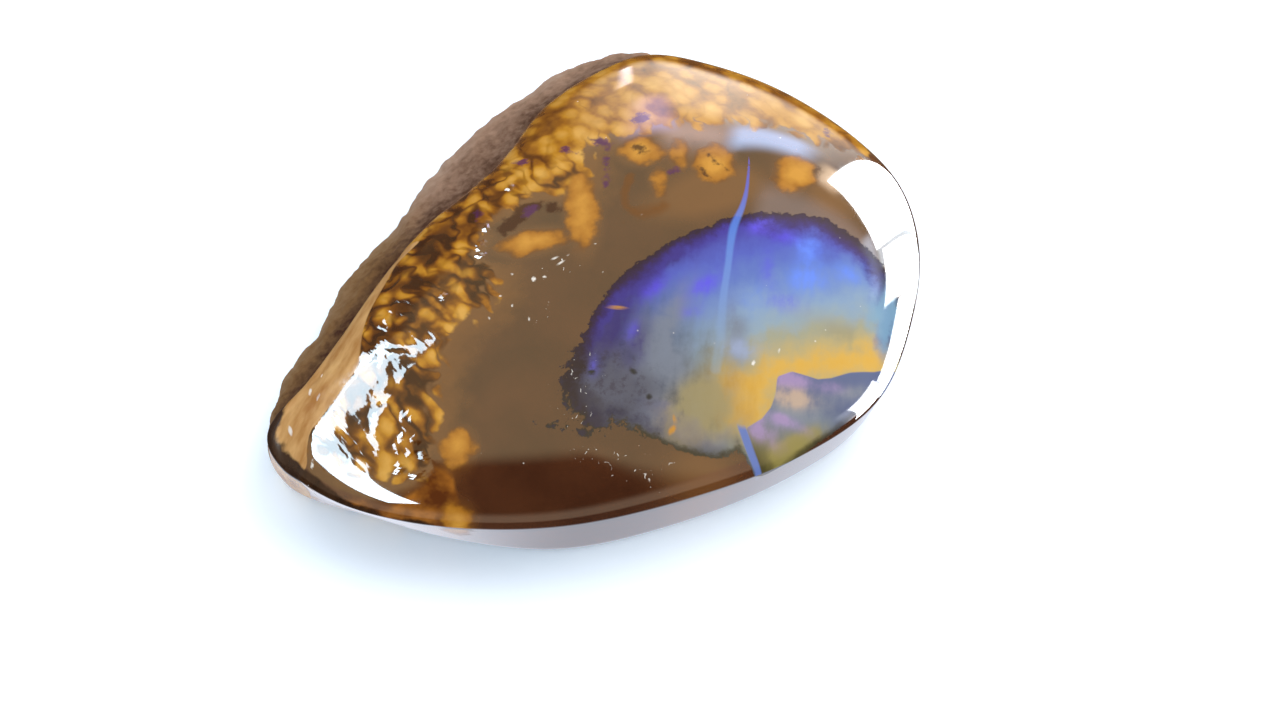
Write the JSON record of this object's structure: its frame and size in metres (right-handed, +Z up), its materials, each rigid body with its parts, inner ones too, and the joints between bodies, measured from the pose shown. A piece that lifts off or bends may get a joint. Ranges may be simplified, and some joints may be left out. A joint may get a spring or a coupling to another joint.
{
  "type": "boulder opal cabochon",
  "caption": "Polished free-form ironstone cabochon with a purple-blue opal patch, golden nuts and a rough natural flank, lying on its flat back.",
  "frame": {"origin": "under the middle of the stone's plan, on the flat ground back that it rests on", "axes": "+Z up out of the polished face, +X along the stone's longest way, from the pointed end to the round end"},
  "size_m": [0.0262, 0.0208, 0.0057],
  "materials": {
    "opal_ironstone": "high polish on the face, natural rough flank, fine ground back"
  },
  "bodies": {
    "root": {"boulder_opal": "opal_ironstone"}
  },
  "joints": []
}
